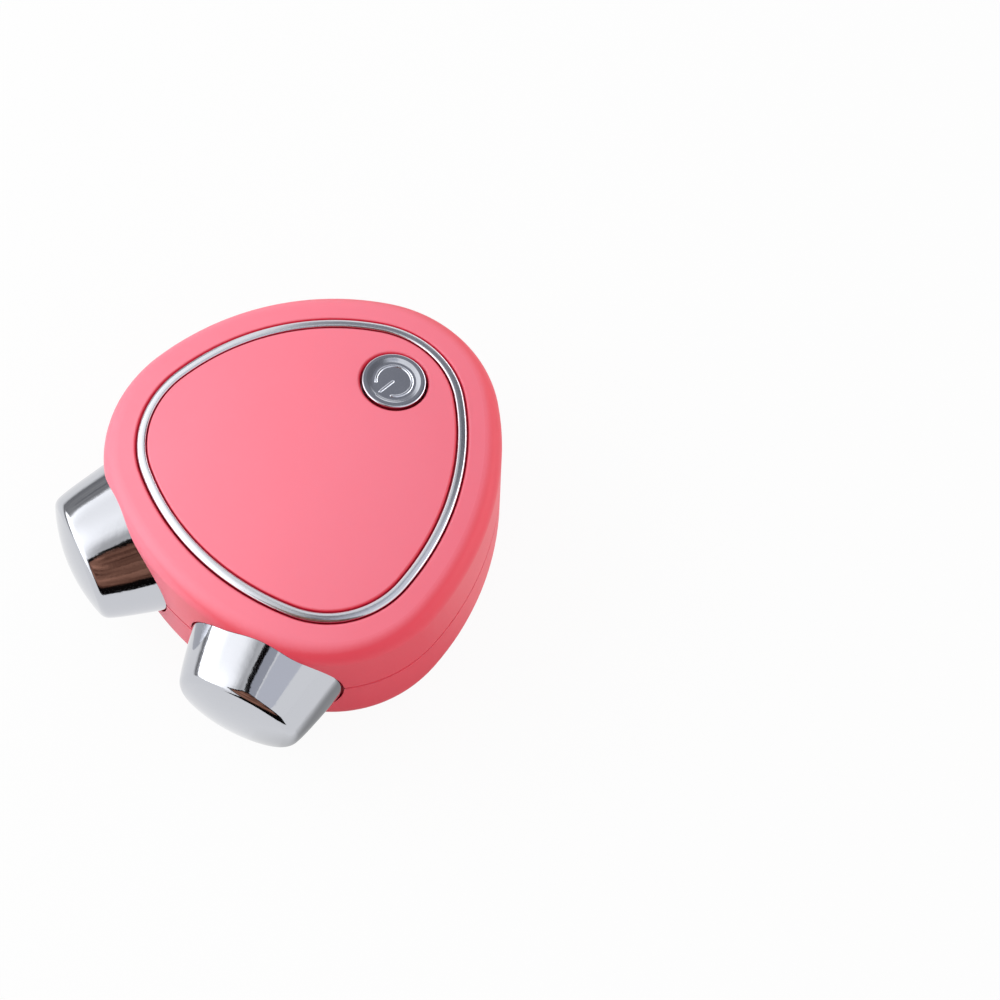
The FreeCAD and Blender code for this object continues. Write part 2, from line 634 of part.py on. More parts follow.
def make_case_screws():
    tip = PARTING_HEIGHT + CASE_BITE
    sizes = (CASE_HEAD_RADIUS, CASE_HEAD_HEIGHT, CASE_SHANK_RADIUS, CASE_SEAT, tip)
    return Part.makeCompound([make_screw(*sizes, spot) for spot in case_boss_places()])


def make_board_screws():
    tip = BOARD_TOP + BOARD_BITE
    sizes = (BOARD_HEAD_RADIUS, BOARD_HEAD_HEIGHT, BOARD_SHANK_RADIUS, BOARD_BOTTOM, tip)
    return Part.makeCompound([make_screw(*sizes, spot) for spot in board_boss_places()])


def make_roller():
    """A hollow tapered roller with a crowned end, closed in front and open behind round its hub."""
    crown = at(0, 0, -ROLLER_CROWN)
    rim = at(ROLLER_END_RADIUS, 0, 0)
    ball = (ROLLER_END_RADIUS ** 2 + ROLLER_CROWN ** 2) / (2 * ROLLER_CROWN)
    half = ROLLER_END_RADIUS / 2
    shoulder = at(half, 0, ball - ROLLER_CROWN - math.sqrt(ball ** 2 - half ** 2))
    base = at(ROLLER_BASE_RADIUS, 0, ROLLER_LENGTH)
    middle = at(0, 0, ROLLER_LENGTH)
    edges = [
        Part.Arc(crown, shoulder, rim).toShape(),
        Part.LineSegment(rim, base).toShape(),
        Part.LineSegment(base, middle).toShape(),
        Part.LineSegment(middle, crown).toShape(),
    ]
    body = Part.Face(Part.Wire(edges)).revolve(at(0, 0, 0), at(0, 0, 1), 360)
    body = body.makeFillet(ROLLER_EDGE, level_edges(body, 0))
    body = body.makeFillet(ROLLER_BASE_EDGE, level_edges(body, ROLLER_LENGTH))
    back = ROLLER_LENGTH + OVERRUN
    radii = [roller_radius(distance) - ROLLER_WALL for distance in (ROLLER_END_WALL, back)]
    hollow = Part.makeCone(*radii, back - ROLLER_END_WALL, at(0, 0, ROLLER_END_WALL))
    hollow = hollow.cut(rod(HUB_RADIUS, 0, back))
    return body.cut([hollow, rod(AXLE_RADIUS + AXLE_FIT, ROLLER_FACE, back)])


def make_axle():
    axle = rod(AXLE_RADIUS, ROLLER_FACE, AXLE_END)
    axle = axle.makeChamfer(AXLE_CHAMFER, level_edges(axle, ROLLER_FACE) + level_edges(axle, AXLE_END))
    low, high = CLIP_START - CLIP_FIT, CLIP_START + CLIP_THICKNESS + CLIP_FIT
    return axle.cut(rod(AXLE_RADIUS, low, high).cut(rod(AXLE_RADIUS - CLIP_DEPTH, low, high)))


def make_retaining_clip():
    low, high = CLIP_START, CLIP_START + CLIP_THICKNESS
    plate = rod(CLIP_RADIUS, low, high).cut(rod(AXLE_RADIUS - CLIP_DEPTH + CLIP_FIT, low, high))
    return plate.cut(block(CLIP_MOUTH, CLIP_RADIUS * 2, CLIP_THICKNESS, 0, -CLIP_RADIUS, low))


def make_thrust_washer():
    low, high = WASHER_START, WASHER_START + WASHER_THICKNESS
    return rod(WASHER_RADIUS, low, high).cut(rod(AXLE_RADIUS + RUNNING_FIT, low, high))


def make_front_bush():
    flange = rod(BUSH_FLANGE_RADIUS - AXLE_FIT, FRONT_BUSH_START, FLANGE_END)
    sleeve = rod(BUSH_RADIUS - AXLE_FIT, FLANGE_END, FRONT_BUSH_END)
    return joined([flange, sleeve]).cut(rod(AXLE_RADIUS + RUNNING_FIT, 0, AXLE_END))


def make_rear_bush():
    sleeve = rod(BUSH_RADIUS - AXLE_FIT, REAR_BUSH_START, REAR_BUSH_END)
    return sleeve.cut(rod(AXLE_RADIUS + RUNNING_FIT, 0, AXLE_END))


def make_contact_spring():
    """A leaf that hangs from the board and rests on the end of the axle."""
    start = AXLE_END + THRUST_GAP
    left = -CONTACT_WIDTH / 2
    height = BOARD_RISE + CONTACT_DROP
    leg = Part.makeBox(CONTACT_WIDTH, height, CONTACT_THICKNESS, at(left, -CONTACT_DROP, start))
    foot_low = BOARD_RISE - CONTACT_THICKNESS
    foot = Part.makeBox(CONTACT_WIDTH, CONTACT_THICKNESS, CONTACT_FOOT, at(left, foot_low, start))
    return joined([leg, foot])


def export(name, shape):
    shape.exportStep(os.path.join("parts", name + ".step"))


SINGLE_PIECES = {
    "upper_shell": make_upper_shell,
    "lower_shell": make_lower_shell,
    "trim_ring": make_trim_ring,
    "face_panel": make_face_panel,
    "power_button": make_power_button,
    "switch_body": make_switch_body,
    "switch_plunger": make_switch_plunger,
    "main_board": make_main_board,
    "controller_chip": make_controller_chip,
    "charging_chip": make_charging_chip,
    "boost_coil": make_boost_coil,
    "chip_capacitors": make_chip_capacitors,
    "battery_connector": make_battery_connector,
    "charge_socket_shell": make_charge_socket_shell,
    "charge_socket_tongue": make_charge_socket_tongue,
    "battery": make_battery,
    "battery_tape": make_battery_tape,
    "case_screws": make_case_screws,
    "board_screws": make_board_screws,
}

AXLE_PIECES = {
    "roller": make_roller,
    "axle": make_axle,
    "front_bush": make_front_bush,
    "rear_bush": make_rear_bush,
    "thrust_washer": make_thrust_washer,
    "retaining_clip": make_retaining_clip,
    "contact_spring": make_contact_spring,
}

LEADS = {"battery_red_lead": -1, "battery_black_lead": 1}


def main():
    os.makedirs("parts", exist_ok=True)
    for name, make in SINGLE_PIECES.items():
        export(name, make())
    for name, side in LEADS.items():
        export(name, make_battery_lead(side))
    for name, make in AXLE_PIECES.items():
        piece = make()
        for hand, side in SIDES.items():
            export(hand + "_" + name, on_axle(piece, side))


main()
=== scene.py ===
import json
import math

import bmesh
import bpy
from bpy.props import FloatProperty, FloatVectorProperty, PointerProperty
from mathutils import Matrix, Vector


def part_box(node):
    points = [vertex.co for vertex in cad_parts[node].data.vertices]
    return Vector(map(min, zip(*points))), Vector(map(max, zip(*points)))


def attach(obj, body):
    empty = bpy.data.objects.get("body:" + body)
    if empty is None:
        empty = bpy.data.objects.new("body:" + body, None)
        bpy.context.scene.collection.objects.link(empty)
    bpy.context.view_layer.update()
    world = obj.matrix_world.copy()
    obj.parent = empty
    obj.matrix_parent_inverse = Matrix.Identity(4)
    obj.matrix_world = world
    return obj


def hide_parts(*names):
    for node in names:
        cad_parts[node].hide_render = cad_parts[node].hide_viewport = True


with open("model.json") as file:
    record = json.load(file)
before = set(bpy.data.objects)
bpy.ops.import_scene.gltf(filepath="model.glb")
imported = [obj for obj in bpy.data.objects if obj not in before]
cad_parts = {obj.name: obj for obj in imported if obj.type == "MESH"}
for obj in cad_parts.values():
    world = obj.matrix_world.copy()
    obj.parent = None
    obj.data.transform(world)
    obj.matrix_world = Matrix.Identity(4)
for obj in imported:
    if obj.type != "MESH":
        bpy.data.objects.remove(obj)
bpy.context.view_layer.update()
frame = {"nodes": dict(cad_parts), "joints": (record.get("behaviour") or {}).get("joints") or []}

bl_info = {
    "name": "Facial Massager",
    "version": (1, 0, 0),
    "blender": (4, 5, 0),
    "location": "View3D > Sidebar > Massager",
    "description": "Finishes a hand-held facial massager: painted casing, spun button and chrome rollers",
    "category": "Object",
}

MM = 0.001
SIDES = {"left": -1, "right": 1}
# An edge that turns more than this stays sharp
SHARP_EDGE = math.radians(40)


def linear(hex_code):
    """Linear red, green and blue of an sRGB hex colour."""
    parts = [int(hex_code[i:i + 2], 16) / 255 for i in (1, 3, 5)]
    return tuple(c / 12.92 if c <= 0.04045 else ((c + 0.055) / 1.055) ** 2.4 for c in parts)


def length(name, description, size_mm):
    return FloatProperty(name=name, description=description, default=size_mm * MM, min=0,
                         unit="LENGTH", subtype="DISTANCE", precision=5)


def angle(name, description, degrees):
    return FloatProperty(name=name, description=description, default=math.radians(degrees), min=0,
                         unit="ROTATION", subtype="ANGLE")


def colour(name, description, hex_code):
    return FloatVectorProperty(name=name, description=description, default=linear(hex_code),
                               size=3, min=0, max=1, subtype="COLOR")


class MassagerSizes(bpy.types.PropertyGroup):
    """Sizes of the rebuilt pieces, as packed apart from a few eased edges"""
    corner_reach: length("Corner reach", "From the middle to the tip of each rounded corner", 32.2)
    corner_radius: length("Corner radius", "Radius of the three corner arcs", 20.6)
    side_radius: length("Side radius", "Radius of the three flatter side arcs", 44.9)
    dome_top: length("Dome top", "Height of the domed face above the table", 31.9)
    dome_radius: length("Dome radius", "Radius of the domed face", 98.0)
    panel_depth: length("Panel depth", "Thickness of the face panel and depth of its recess", 1.6)
    ring_inset: length("Ring inset", "From the body outline to the middle of the trim ring", 6.1)
    ring_width: length("Ring width", "Width of the trim ring", 1.4)
    ring_proud: length("Ring height", "How far the trim ring stands above the dome", 0.15)
    ring_bevel: length("Ring bevel", "Bevel along both edges of the trim ring", 0.24)
    button_y: length("Button place", "From the middle of the body to the button", 17.7)
    button_radius: length("Button radius", "Radius of the power button", 4.9)
    button_proud: length("Button height", "How far the button's rim stands above the dome", 0.3)
    button_edge: length("Button edge", "Rounding of the button's rim", 0.25)
    button_flange: length("Button flange", "Radius of the flange that keeps the button in", 5.9)
    button_hollow: length("Button hollow", "Radius of the hollow under the button", 3.7)
    button_stem: length("Button stem", "Radius of the stem that presses the switch", 1.5)
    button_skin: length("Button skin", "Thickness of the button's top", 1.3)
    flange_drop: length("Flange drop", "Depth of the flange's top under the dome", 3.1)
    flange_height: length("Flange height", "Height of the flange below the deck", 1.8)
    dish_radius: length("Dish radius", "Outer radius of the dish in the button", 4.4)
    dish_slope: length("Dish slope", "Width of the dish's sloping side", 1.25)
    dish_depth: length("Dish depth", "Depth of the dish in the button", 0.28)
    symbol_radius: length("Symbol radius", "Radius of the raised power symbol", 2.75)
    symbol_width: length("Symbol width", "Line width of the raised power symbol", 0.5)
    symbol_height: length("Symbol height", "Height of the raised power symbol", 0.15)
    symbol_bar: length("Symbol bar", "Reach of the symbol's bar from the button's middle", 3.2)
    symbol_gap: angle("Symbol gap", "Half the opening of the symbol's ring", 38)
    roller_end: length("Roller end radius", "Radius of a roller's cone at its outer end", 10.15)
    roller_length: length("Roller length", "Length of a roller along its axle", 10.6)
    roller_edge: length("Roller edge", "Rounding between a roller's cone and its end", 1.95)
    roller_crown: length("Roller crown", "Rise of a roller's end in the middle", 2.0)
    roller_base: length("Roller base", "Rounding at the foot of a roller's cone", 0.5)
    roller_wall: length("Roller wall", "Wall of a hollow roller", 1.6)
    roller_end_wall: length("Roller end wall", "Depth of the hollow behind a roller's end", 2.2)
    roller_hub: length("Roller hub", "Radius of the hub inside a roller", 3.6)
    roller_bore: length("Roller bore", "Radius of the bore for the axle", 2.02)
    roller_face: length("Roller face", "Depth of the bore's end behind a roller's end", 3.8)
    roller_ease: angle("Roller ease", "Turn of the buffed cone's line where the edge meets it", 8)
    roller_ease_reach: length("Roller ease reach", "Length over which the buffed line dies away", 1.5)
    roller_splay: angle("Roller splay", "Turn of each axle away from straight ahead", 19.8)
    roller_taper: FloatProperty(name="Roller taper", description="Growth of a roller's radius along its axle",
                                default=0.23, min=0, max=1)


class MassagerColours(bpy.types.PropertyGroup):
    """Colours of the finishes"""
    # The three paint tones carry painted light and shade: the palest where light is painted on, the deeper
    # one as painted shade on walls turned away, the red as painted shade in narrow seams
    paint: colour("Paint", "Soft-touch paint where it lies thick", "#F27B8E")
    paint_in_painted_shade: colour("Under paint", "Soft-touch paint where it lies thin, over the moulding", "#E54556")
    seam: colour("Seam", "Moulding in the narrow seams, where the spray does not reach", "#EE123A")
    chrome: colour("Rollers", "Chrome plate on the rollers", "#C6C8CE")
    trim: colour("Trim ring", "Anodised aluminium of the trim ring", "#DCDEE5")
    button: colour("Button", "Spun aluminium of the power button", "#D5D8E1")
    floor: colour("Floor", "Studio floor", "#DADADA")


class MassagerSettings(bpy.types.PropertyGroup):
    """All settings of the massager"""
    sizes: PointerProperty(type=MassagerSizes)
    colours: PointerProperty(type=MassagerColours)


def sizes():
    return bpy.context.scene.massager.sizes


def colours():
    return bpy.context.scene.massager.colours


# ---------------------------------------------------------------- shader nodes

def add(tree, kind, values=None, links=None, **settings):
    """Adds one shader node with its settings, its socket values and its links."""
    node = tree.nodes.new("ShaderNode" + kind)
    for name, value in settings.items():
        setattr(node, name, value)
    for name, value in (values or {}).items():
        node.inputs[name].default_value = value
    for name, (source, output) in (links or {}).items():
        tree.links.new(source.outputs[output], node.inputs[name])
    return node


def new_material(name):
    material = bpy.data.materials.new(name)
    material.use_nodes = True
    material.node_tree.nodes.clear()
    return material, material.node_tree


def show(tree, shader):
    add(tree, "OutputMaterial", links={"Surface": (shader, 0)})


def per_mm(size_mm):
    """Texture scale whose features are this size, for coordinates in metres."""
    return 1 / (size_mm * MM)


def rgba(rgb):
    return (*rgb, 1.0)


def toward(azimuth, elevation):
    """Direction of an azimuth and an elevation, in degrees."""
    a, e = math.radians(azimuth), math.radians(elevation)
    return Vector((math.cos(a) * math.cos(e), math.sin(a) * math.cos(e), math.sin(e)))


def painted_light_facing(tree, place, light_way, low, high):
    """How much a surface faces a painted light's way, from none to full as the cosine to that way goes low to
    high.
    """
    facing = add(tree, "VectorMath", {1: toward(*light_way)}, {0: (place, "Normal")}, operation="DOT_PRODUCT")
    return add(tree, "MapRange", {"From Min": low, "From Max": high}, {"Value": (facing, "Value")},
               interpolation_type="SMOOTHSTEP")


def soft_touch_paint(name):
    """Soft-touch polyurethane paint on ABS: matte and velvety, with a fine sprayed grain. Its tone carries
    painted
    light: faces turned up and to the front-left are painted paler, as if lit from there, walls turned away
    are painted deeper as painted shade, and narrow seams are painted red as painted shade."""
    material, tree = new_material(name)
    place = add(tree, "TexCoord")
    # Painted light from above and from the front-left: the more a face turns that way, the paler it is
    # painted
    above = painted_light_facing(tree, place, (-150, 66), 0.46, 0.905)
    front = painted_light_facing(tree, place, (-118, 18), 0.72, 0.94)
    painted_light = add(tree, "Math", links={0: (above, "Result"), 1: (front, "Result")}, operation="MAXIMUM")
    # The tone drifts a little every 14 mm
    drift_most = 0.1
    drift = add(tree, "TexNoise", {"Scale": per_mm(14), "Detail": 2}, {"Vector": (place, "Object")})
    share = add(tree, "Math", {1: -drift_most}, {0: (drift, "Fac"), 2: (painted_light, 0)}, operation="MULTIPLY_ADD")
    # A wall turned away from the painted light still takes this share of it, where the painted-shade tone
    # sits
    painted_shade_stop = 0.3
    lifted = add(tree, "Math", {1: 1 - painted_shade_stop, 2: painted_shade_stop}, {0: (share, 0)}, operation="MULTIPLY_ADD")
    # Painted shade: ambient occlusion paints seams narrower than 0.6 mm in the deep seam red
    seam = add(tree, "AmbientOcclusion", {"Distance": 0.6 * MM}, samples=4)
    open_to_light = add(tree, "MapRange", {"From Min": 0.5, "From Max": 0.82}, {"Value": (seam, "AO")})
    painted_light_level = add(tree, "Math", links={0: (lifted, 0), 1: (open_to_light, "Result")}, operation="MULTIPLY")
    tone = add(tree, "ValToRGB", links={"Fac": (painted_light_level, 0)})
    # From painted shade in the seams, through painted shade on the walls, to the pale tone where light is
    # painted
    tone.color_ramp.elements[0].color = rgba(tuple(colours().seam))
    tone.color_ramp.elements.new(painted_shade_stop).color = rgba(tuple(colours().paint_in_painted_shade))
    tone.color_ramp.elements[2].color = rgba(tuple(colours().paint))
    # Sprayed droplets of 0.08 mm are too fine to show, so their grain is drawn at 0.35 mm
    grain = add(tree, "TexNoise", {"Scale": per_mm(0.35), "Detail": 3, "Roughness": 0.6},
                {"Vector": (place, "Object")})
    satin = add(tree, "MapRange", {"To Min": 0.42, "To Max": 0.52}, {"Value": (grain, "Fac")})
    relief = add(tree, "Bump", {"Strength": 0.06, "Distance": 0.02 * MM}, {"Height": (grain, "Fac")})
    paint = add(tree, "BsdfPrincipled",
                {"IOR": 1.5, "Specular IOR Level": 0.4, "Sheen Weight": 0.03, "Subsurface Weight": 0.12,
                 "Subsurface Radius": (1, 0.25, 0.25), "Subsurface Scale": 0.5 * MM},
                {"Base Color": (tone, "Color"), "Roughness": (satin, "Result"), "Normal": (relief, "Normal")})
    show(tree, paint)
    return material


# ---------------------------------------------------------------- mesh tools

def stations(step_mm):
    """Arc centre, arc radius and bearing of points round the body outline. An inset shortens the radius."""
    s = sizes()
    corner = s.corner_reach - s.corner_radius
    step = s.side_radius - s.corner_radius
    # Each corner arc meets its side arc where both centres are in line with the point
    side = (math.sqrt(4 * step ** 2 - 3 * corner ** 2) - corner) / 2
    side_half = math.atan2(corner * math.sin(math.pi / 3), side + corner * math.cos(math.pi / 3))
    arcs = []
    for turn in (90, 210, 330):
        arcs.append((turn, corner, s.corner_radius, math.pi / 3 - side_half))
        arcs.append((turn + 60, -side, s.side_radius, side_half))
    found = []
    for turn, offset, radius, half in arcs:
        middle = math.radians(turn)
        centre = Vector((math.cos(middle), math.sin(middle), 0)) * offset
        count = math.ceil(2 * half * radius / (step_mm * MM))
        found += [(centre, radius, middle - half + 2 * half * i / count) for i in range(count)]
    return found


def dome_level(x, y, drop):
    """Height of the domed face at a point in plan, sunk by a drop."""
    s = sizes()
    return s.dome_top - s.dome_radius + math.sqrt((s.dome_radius - drop) ** 2 - x * x - y * y)


def skin(name, *lofts):
    """A mesh through lofts, each a list of loops of points. A ring's last loop meets its first, and any other
    loft is closed at both ends. The UV is in metres, along the longest loop and across the loops."""
    mesh = bpy.data.meshes.new(name)
    work = bmesh.new()
    layer = work.loops.layers.uv.new("run")
    for loops, ring in lofts:
        rows = [[work.verts.new(point) for point in loop] for loop in loops]
        count = len(loops[0])
        spans = [[(Vector(there) - Vector(here)).length for here, there in zip(loop, loop[1:] + loop[:1])]
                 for loop in loops]
        run = [0.0]
        for span in max(spans, key=sum):
            run.append(run[-1] + span)
        across = [0.0]
        for here, there in zip(loops, loops[1:] + loops[:1]):
            across.append(across[-1] + (Vector(there[0]) - Vector(here[0])).length)
        for j in range(len(rows) if ring else len(rows) - 1):
            k = (j + 1) % len(rows)
            for i in range(count):
                n = (i + 1) % count
                face = work.faces.new((rows[j][i], rows[j][n], rows[k][n], rows[k][i]))
                places = ((run[i], across[j]), (run[i + 1], across[j]),
                          (run[i + 1], across[j + 1]), (run[i], across[j + 1]))
                for corner, place in zip(face.loops, places):
                    corner[layer].uv = place
        if not ring:
            for row in (rows[0], rows[-1]):
                work.faces.new(row)
    bmesh.ops.recalc_face_normals(work, faces=work.faces)
    work.to_mesh(mesh)
    work.free()
    return finish_mesh(name, mesh)


def finish_mesh(name, mesh):
    mesh.shade_smooth()
    mesh.set_sharp_from_angle(angle=SHARP_EDGE)
    piece = bpy.data.objects.new(name, mesh)
    bpy.context.scene.collection.objects.link(piece)
    return piece


def settle(piece, body, node, material):
    """Puts a rebuilt piece in its node's place, on its body and with its finish."""
    piece.data.materials.append(material)
    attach(piece, body)
    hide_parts(node)


def dress(material, *names):
    """Gives carried-over nodes one finish."""
    for name in names:
        slots = frame["nodes"][name].data.materials
        slots.clear()
        slots.append(material)


def arc(centre, radius, start, end, steps):
    """Points of a flat arc, angles in degrees."""
    turns = [math.radians(start + (end - start) * i / steps) for i in range(steps + 1)]
    return [(centre[0] + radius * math.cos(t), centre[1] + radius * math.sin(t)) for t in turns]


# ---------------------------------------------------------------- pieces

class MASSAGER_OT_casing(bpy.types.Operator):
    """Finish both shells with soft-touch paint"""
    bl_idname = "massager.casing"
    bl_label = "Painted casing"

    def execute(self, context):
        dress(soft_touch_paint("soft_touch_paint_on_abs"), "upper_shell", "lower_shell")
        return {"FINISHED"}


class MASSAGER_OT_face_panel(bpy.types.Operator):
    """Finish the face panel with soft-touch paint"""
    bl_idname = "massager.face_panel"
    bl_label = "Face panel"

    def execute(self, context):
        dress(soft_touch_paint("soft_touch_paint_on_face_panel"), "face_panel")
        return {"FINISHED"}


def brushed_trim():
    """Aluminium strip, brushed lengthwise and clear anodised: long fine lines that stretch each highlight."""
    material, tree = new_material("brushed_anodised_aluminium")
    place = add(tree, "UVMap", uv_map="run")
    # Brush lines of 0.05 mm are too fine to show, so they are drawn 0.2 mm apart and 12 mm long
    stretch = add(tree, "Mapping", {"Scale": (per_mm(12), per_mm(0.2), 1)}, {"Vector": (place, "UV")})
    lines = add(tree, "TexNoise", {"Scale": 1, "Detail": 2}, {"Vector": (stretch, "Vector")})
    satin = add(tree, "MapRange", {"To Min": 0.12, "To Max": 0.3}, {"Value": (lines, "Fac")})
    relief = add(tree, "Bump", {"Strength": 0.2, "Distance": 0.02 * MM}, {"Height": (lines, "Fac")})
    along = add(tree, "Tangent", direction_type="UV_MAP", uv_map="run")
    metal = add(tree, "BsdfPrincipled",
                {"Base Color": rgba(tuple(colours().trim)), "Metallic": 1, "Anisotropic": 0.4},
                {"Roughness": (satin, "Result"), "Normal": (relief, "Normal"), "Tangent": (along, "Tangent")})
    show(tree, metal)
    return material


class MASSAGER_OT_trim_ring(bpy.types.Operator):
    """Rebuild the bevelled trim ring round the face"""
    bl_idname = "massager.trim_ring"
    bl_label = "Trim ring"

    def execute(self, context):
        s = sizes()
        outer, inner = s.ring_inset - s.ring_width / 2, s.ring_inset + s.ring_width / 2
        top, bevel, foot = -s.ring_proud, s.ring_bevel, s.panel_depth
        # Each corner of the bevel is broken by a narrow flat, this far to both sides
        nib = 0.04 * MM
        step_mm = 0.5
        section = [(outer, foot), (outer, top + bevel + nib), (outer + nib, top + bevel - nib),
                   (outer + bevel - nib, top + nib), (outer + bevel + nib, top),
                   (s.ring_inset, top),
                   (inner - bevel - nib, top), (inner - bevel + nib, top + nib),
                   (inner - nib, top + bevel - nib), (inner, top + bevel + nib), (inner, foot)]
        loops = []
        for inset, drop in section:
            loop = []
            for centre, radius, turn in stations(step_mm):
                x = centre.x + (radius - inset) * math.cos(turn)
                y = centre.y + (radius - inset) * math.sin(turn)
                loop.append((x, y, dome_level(x, y, drop)))
            loops.append(loop)
        settle(skin("trim_ring_strip", (loops, True)), "casing", "trim_ring", brushed_trim())
        return {"FINISHED"}


def spun_button():
    """Aluminium turned on a lathe and clear anodised: fine rings that catch a fan of light."""
    material, tree = new_material("spun_anodised_aluminium")
    place = add(tree, "UVMap", uv_map="run")
    # Turning marks of 0.04 mm are too fine to show, so they are drawn 0.45 mm apart
    stretch = add(tree, "Mapping", {"Scale": (per_mm(60), per_mm(0.45), 1)}, {"Vector": (place, "UV")})
    rings = add(tree, "TexNoise", {"Scale": 1, "Detail": 2}, {"Vector": (stretch, "Vector")})
    satin = add(tree, "MapRange", {"To Min": 0.08, "To Max": 0.22}, {"Value": (rings, "Fac")})
    relief = add(tree, "Bump", {"Strength": 1, "Distance": 0.03 * MM}, {"Height": (rings, "Fac")})
    along = add(tree, "Tangent", direction_type="UV_MAP", uv_map="run")
    metal = add(tree, "BsdfPrincipled",
                {"Base Color": rgba(tuple(colours().button)), "Metallic": 1, "Anisotropic": 0.5},
                {"Roughness": (satin, "Result"), "Normal": (relief, "Normal"), "Tangent": (along, "Tangent")})
    show(tree, metal)
    return material


def bead(path, half, rise):
    """Loops of a half-sunk bead along a path on the button's dish, with round ends."""
    s = sizes()
    # A ridge power above 1 pinches the round section to a soft crest
    steps, cap, ridge = 16, 5, 1.35
    spine = []
    for i, point in enumerate(path):
        along = (path[min(i + 1, len(path) - 1)] - path[max(i - 1, 0)]).normalized()
        spine.append((point, along, 1.0))
    (first, start, _), (last, end, _) = spine[0], spine[-1]
    turns = [math.radians(90 * i / cap) for i in range(1, cap)]
    heads = [(first - start * half * math.cos(t), start, math.sin(t)) for t in turns]
    tails = [(last + end * half * math.cos(t), end, math.sin(t)) for t in reversed(turns)]
    loops = []
    for point, along, share in heads + spine + tails:
        across = along.cross(Vector((0, 0, 1))) * half * share
        loop = []
        for k in range(steps):
            turn = 2 * math.pi * k / steps
            side, lift = (math.copysign(abs(f) ** ridge, f) for f in (math.cos(turn), math.sin(turn)))
            place = point + across * side
            drop = s.dish_depth - s.button_proud - rise * share * lift
            loop.append((place.x, place.y, dome_level(place.x, place.y, drop)))
        loops.append(loop)
    return loops


def power_symbol():
    """A ring broken towards the rollers and a bar through the break, as raised beads."""
    s = sizes()
    half, ring_steps, bar_steps = s.symbol_width / 2, 96, 8
    turns = [s.symbol_gap + 2 * (math.pi - s.symbol_gap) * i / ring_steps for i in range(ring_steps + 1)]
    ring = [Vector((s.symbol_radius * math.sin(t), s.button_y - s.symbol_radius * math.cos(t), 0))
            for t in turns]
    reach = s.symbol_bar - half
    bar = [Vector((0, s.button_y - half - (reach - half) * i / bar_steps, 0)) for i in range(bar_steps + 1)]
    return [(bead(path, half, s.symbol_height), False) for path in (ring, bar)]


class MASSAGER_OT_power_button(bpy.types.Operator):
    """Rebuild the dished button with its raised power symbol"""
    bl_idname = "massager.power_button"
    bl_label = "Power button"

    def execute(self, context):
        s = sizes()
        steps, edge_steps, slope_steps = 180, 6, 14
        turns = [2 * math.pi * i / steps for i in range(steps)]

        def level_loop(radius, height):
            return [(radius * math.sin(t), s.button_y - radius * math.cos(t), height) for t in turns]

        def domed_loop(radius, drop):
            return [(x, y, dome_level(x, y, drop)) for x, y, _ in level_loop(radius, 0)]

        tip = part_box("power_button")[0][2]
        foot = dome_level(0, s.button_y, s.flange_drop) - s.flange_height
        dish = s.dish_depth - s.button_proud
        ceiling = dome_level(0, s.button_y + s.button_hollow, dish) - s.button_skin
        loops = [level_loop(s.button_stem, tip), level_loop(s.button_stem, ceiling),
                 level_loop(s.button_hollow, ceiling), level_loop(s.button_hollow, foot),
                 level_loop(s.button_flange, foot), domed_loop(s.button_flange, s.flange_drop),
                 domed_loop(s.button_radius, s.flange_drop)]
        rim = arc((s.button_radius - s.button_edge, s.button_edge - s.button_proud), s.button_edge, 0, -90,
                  edge_steps)
        loops += [domed_loop(radius, drop) for radius, drop in rim]
        for i in range(slope_steps + 1):
            share = i / slope_steps
            ease = share * share * (3 - 2 * share)
            radius = s.dish_radius - s.dish_slope * share
            loops.append(domed_loop(radius, s.dish_depth * ease - s.button_proud))
        # The dish's floor closes in on a small disc
        inner = s.dish_radius - s.dish_slope
        loops += [domed_loop(inner * share, dish) for share in (0.8, 0.6, 0.4, 0.2, 0.05)]
        cap = skin("power_button_cap", (loops, False), *power_symbol())
        settle(cap, "button_set", "power_button", spun_button())
        return {"FINISHED"}


def mirror_chrome():
    """Chrome plate on a buffed zinc casting: a near mirror that wavers a little, with faint buffing lines."""
    material, tree = new_material("buffed_chrome_plate")
    place = add(tree, "TexCoord")
    waver = add(tree, "TexNoise", {"Scale": per_mm(4), "Detail": 4, "Roughness": 0.6},
                {"Vector": (place, "Object")})
    relief = add(tree, "Bump", {"Strength": 1, "Distance": 0.03 * MM}, {"Height": (waver, "Fac")})
    run = add(tree, "UVMap", uv_map="run")
    # Buffing lines of 0.02 mm are too fine to show, so they are drawn 0.4 mm apart and 8 mm long
    stretch = add(tree, "Mapping", {"Scale": (per_mm(0.4), per_mm(8), 1)}, {"Vector": (run, "UV")})
    lines = add(tree, "TexNoise", {"Scale": 1, "Detail": 3}, {"Vector": (stretch, "Vector")})
    buffed = add(tree, "Bump", {"Strength": 1, "Distance": 0.003 * MM},
                 {"Height": (lines, "Fac"), "Normal": (relief, "Normal")})
    polish = add(tree, "MapRange", {"To Min": 0.03, "To Max": 0.12}, {"Value": (lines, "Fac")})
    metal = add(tree, "BsdfPrincipled", {"Base Color": rgba(tuple(colours().chrome)), "Metallic": 1},
                {"Roughness": (polish, "Result"), "Normal": (buffed, "Normal")})
    show(tree, metal)
    return material


